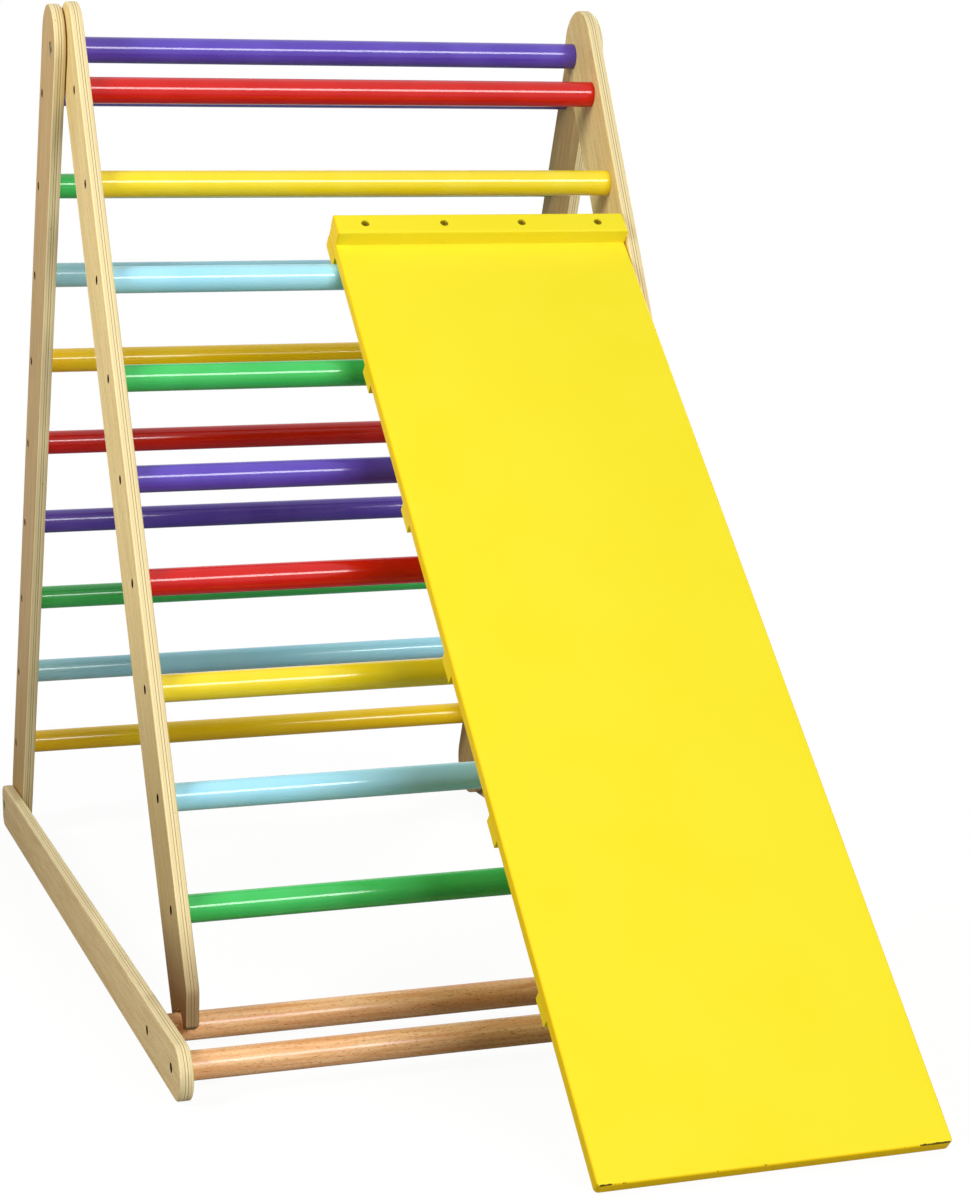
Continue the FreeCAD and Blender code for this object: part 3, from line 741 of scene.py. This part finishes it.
# %% Metal and nylon materials
BLOTCH_MM = 1.5
MATT_HEADS = {"Roughness": 0.6, "Specular IOR Level": 0.0}
BARE = {"Roughness": 0.4, "Metallic": 0.8}
NYLON_CLOUD_MM = 4.0
NYLON_ROUGHNESS, NYLON_IOR = 0.45, 1.53


# Screw and bolt steel: dark matt dots where painted shade covers it, olive where paint and painted
# shade do, and a dull grey glint where it is bare
def blotched_steel(name, colour, dull_colour, shaded):
    """Steel in fine blotches of two colours, for plating, paint and painted shade; shaded holds the
    other sockets.
    """
    material, tree, place = new_material(name)
    blotch = add_node(tree, "TexNoise", {"Vector": place, "Scale": 1 / (BLOTCH_MM * MM),
                                         "Detail": 3.0})
    skin = add_node(tree, "Mix", {FACTOR: blotch.outputs["Fac"], COLOUR_A: linear(colour),
                                  COLOUR_B: linear(dull_colour)}, data_type="RGBA")
    finish_material(tree, {"Base Color": skin.outputs[MIXED], **shaded})
    return material


# Moulded nylon: a thin milky ring without a hard shine
def milky_nylon(name):
    """Moulded nylon, faintly clouded."""
    material, tree, place = new_material(name)
    cloud = add_node(tree, "TexNoise", {"Vector": place, "Scale": 1 / (NYLON_CLOUD_MM * MM),
                                        "Detail": 2.0})
    body = add_node(tree, "Mix", {FACTOR: cloud.outputs["Fac"], COLOUR_A: linear("#EFEBE0"),
                                  COLOUR_B: linear("#DDD7C8")}, data_type="RGBA")
    finish_material(tree, {"Base Color": body.outputs[MIXED], "Roughness": NYLON_ROUGHNESS,
                           "IOR": NYLON_IOR})
    return material


metals = {
    # Dark as painted shade: the screw heads sit sunk in their holes
    "zinc_screw": blotched_steel("screw steel in painted shade", "#2C2014", "#120C06", MATT_HEADS),
    # Yellow paint over the heads, darkened to olive as painted shade in their holes
    "dark_screw": blotched_steel("painted screw steel in painted shade", "#A89020", "#645414", MATT_HEADS),
    "steel_bolt": blotched_steel("zinc-plated bolt steel", "#8C8474", "#4C463A", BARE),
    "nylon_washer": milky_nylon("moulded nylon"),
}
print("fastener finishes", sorted(metals))

# %% [markdown]
# ## Dress the CAD nodes
#
# The record says which material slot each node belongs to, so most finishes are found by that name.
# There are two exceptions. The plywood's layers are counted from each board's own inner face, so
# the two ladders and the base bars have a plywood each, and the ladders' veneers differ by painted
# light and shade. And the rear ladder's yellow rungs take the yellow made deeper and more golden,
# as painted shade.

# %% Give every node its finish
slot_of = {part["node"]: part["material_slot"] for part in frame["record"]["subparts"]}
by_slot = {**paints, **metals, "beech_dowel": beech, "ramp_yellow": ramp_paint}
plywood_of = {"front_rail": front_ply, "rear_rail": rear_ply, "base_bar": base_ply}

for name, piece in nodes.items():
    kind = name.rsplit("_", 1)[0]
    finish = plywood_of[kind] if kind in plywood_of else by_slot[slot_of[name]]
    # the rear yellow rungs get the yellow with painted shade
    if kind == "rear_rung" and slot_of[name] == "paint_yellow":
        finish = yellow_in_painted_shade
    piece.data.materials.clear()
    piece.data.materials.append(finish)
print("dressed", len(nodes), "nodes")

# %% [markdown]
# ## Turned rungs
#
# The CAD rungs are right in size, but their ends are cut sharp and their round is made of flat
# strips that a glossy paint would show. Each is replaced by a finer rod: a cylinder with many sides
# is added at the middle of the frame, its two end faces are selected by their normals, and their
# rims are bevelled as a turner eases them. Then it is shaded smooth. Plain smooth shading would let
# the rims tilt the light on the whole rod, so the normals are weighted by area.

# %% Model a rod
ROD_DIAMETER = 25 * MM
ROD_SIDES = 72
END_EASE, EASE_STEPS = 0.5 * MM, 4
END_NORMAL = 0.9            # a face whose normal has more than this along X is an end
SHARP_ANGLE = math.radians(40)          # faces that meet at a larger angle keep their edge


def shade_smooth(piece):
    """Shades a piece smooth, with normals weighted by area so that large faces stay straight."""
    bpy.ops.object.shade_smooth_by_angle(angle=SHARP_ANGLE)
    weigh = piece.modifiers.new("straight large faces", "WEIGHTED_NORMAL")
    weigh.keep_sharp = True
    bpy.ops.object.modifier_apply(modifier=weigh.name)


def turned_rod(length):
    """A round rod along X through the origin, with eased ends."""
    bpy.ops.object.select_all(action="DESELECT")
    bpy.ops.mesh.primitive_cylinder_add(vertices=ROD_SIDES, radius=ROD_DIAMETER / 2, depth=length,
                                        rotation=(0, math.pi / 2, 0))
    bpy.ops.object.transform_apply(location=True, rotation=True, scale=True)
    rod = bpy.context.object
    bpy.ops.object.mode_set(mode="EDIT")
    bpy.ops.mesh.select_mode(type="FACE")
    bpy.ops.mesh.select_all(action="DESELECT")
    bpy.ops.object.mode_set(mode="OBJECT")
    for face in rod.data.polygons:
        face.select = abs(face.normal.x) > END_NORMAL
    bpy.ops.object.mode_set(mode="EDIT")
    bpy.ops.mesh.bevel(offset=END_EASE, segments=EASE_STEPS, affect="EDGES")
    bpy.ops.object.mode_set(mode="OBJECT")
    shade_smooth(rod)
    return rod


print("rods of", round(ROD_DIAMETER / MM), "mm with", ROD_SIDES, "sides")

# %% [markdown]
# One rod is made for each length, and copies with their own mesh are moved to the places of the CAD
# rungs. Each copy takes over its rung's body and finish. At the end the first rods, which still lie
# in the middle of the frame, are deleted.

# %% Copy the rods to their places
def copied(master, name, place):
    """A copy of a piece with its own mesh, moved to a place in its mesh."""
    bpy.ops.object.select_all(action="DESELECT")
    master.select_set(True)
    bpy.context.view_layer.objects.active = master
    bpy.ops.object.duplicate()
    bpy.ops.transform.translate(value=place)
    bpy.ops.object.transform_apply(location=True, rotation=True, scale=True)
    copy = bpy.context.object
    copy.name = name
    return copy


def stand_for(piece, node):
    """The piece takes a CAD node's body and finish, and the node is hidden."""
    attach(piece, nodes[node]["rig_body"])
    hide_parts(node)
    piece.data.materials.clear()
    piece.data.materials.append(nodes[node].data.materials[0])


rods = ["top_rung", "hook_dowel", "front_dowel"]
rods += [f"{ladder}_rung_{number}" for ladder in ("front", "rear")
         for number in range(1, RUNG_COUNT + 1)]
masters = {}
for node in rods:
    low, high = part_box(node)
    length = round(high.x - low.x, 4)
    if length not in masters:
        masters[length] = turned_rod(length)
    stand_for(copied(masters[length], f"turned_{node}", (low + high) / 2), node)
for master in masters.values():
    bpy.data.objects.remove(master)
print(len(rods), "rods of lengths", sorted(masters))

# %% [markdown]
# ## The ramp's board
#
# The board is a box, but a worn one: its two toe corners are rounded by standing and being dragged
# on the floor, and paint has softened every edge. A cube is added at the board's size and slope,
# the upright edges at the toe are bevelled by a few millimetres, and then a finer Bevel modifier
# goes round all that is left.

# %% Model the board
TOE_CORNER, TOE_STEPS = 4.0 * MM, 5
EDGE_SOFTNESS, EDGE_STEPS = 1.6 * MM, 3
TOE_REACH = 1 * MM          # points nearer to the toe's end than this belong to it

bpy.ops.object.select_all(action="DESELECT")
bpy.ops.mesh.primitive_cube_add(size=1, location=ramp_middle, rotation=(ramp_slope, 0, 0),
                                scale=(ramp_width, ramp_length, PLY_THICKNESS))
bpy.ops.object.transform_apply(location=True, rotation=True, scale=True)
board = bpy.context.object
board.name = "painted_ramp_board"


def at_toe(point):
    """Whether a point lies in the board's lower end."""
    return (point - toe_corner).dot(ramp_along) < TOE_REACH


for face in board.data.polygons:
    face.select = False
for edge in board.data.edges:
    first, second = [board.data.vertices[k].co for k in edge.vertices]
    through = abs((first - second).dot(ramp_up)) > PLY_THICKNESS / 2
    edge.select = through and at_toe(first) and at_toe(second)
for vertex in board.data.vertices:
    vertex.select = at_toe(vertex.co)
bpy.ops.object.mode_set(mode="EDIT")
bpy.ops.mesh.select_mode(type="EDGE")
print("toe corner edges:", sum(edge.select for edge in board.data.edges))
bpy.ops.mesh.bevel(offset=TOE_CORNER, segments=TOE_STEPS, affect="EDGES")
bpy.ops.object.mode_set(mode="OBJECT")
soften = board.modifiers.new("softened edges", "BEVEL")
soften.width = EDGE_SOFTNESS
soften.segments = EDGE_STEPS
soften.limit_method = "ANGLE"
soften.angle_limit = SHARP_ANGLE
bpy.ops.object.modifier_apply(modifier=soften.name)
shade_smooth(board)
stand_for(board, "ramp_board")
print("board has", len(board.data.polygons), "faces")
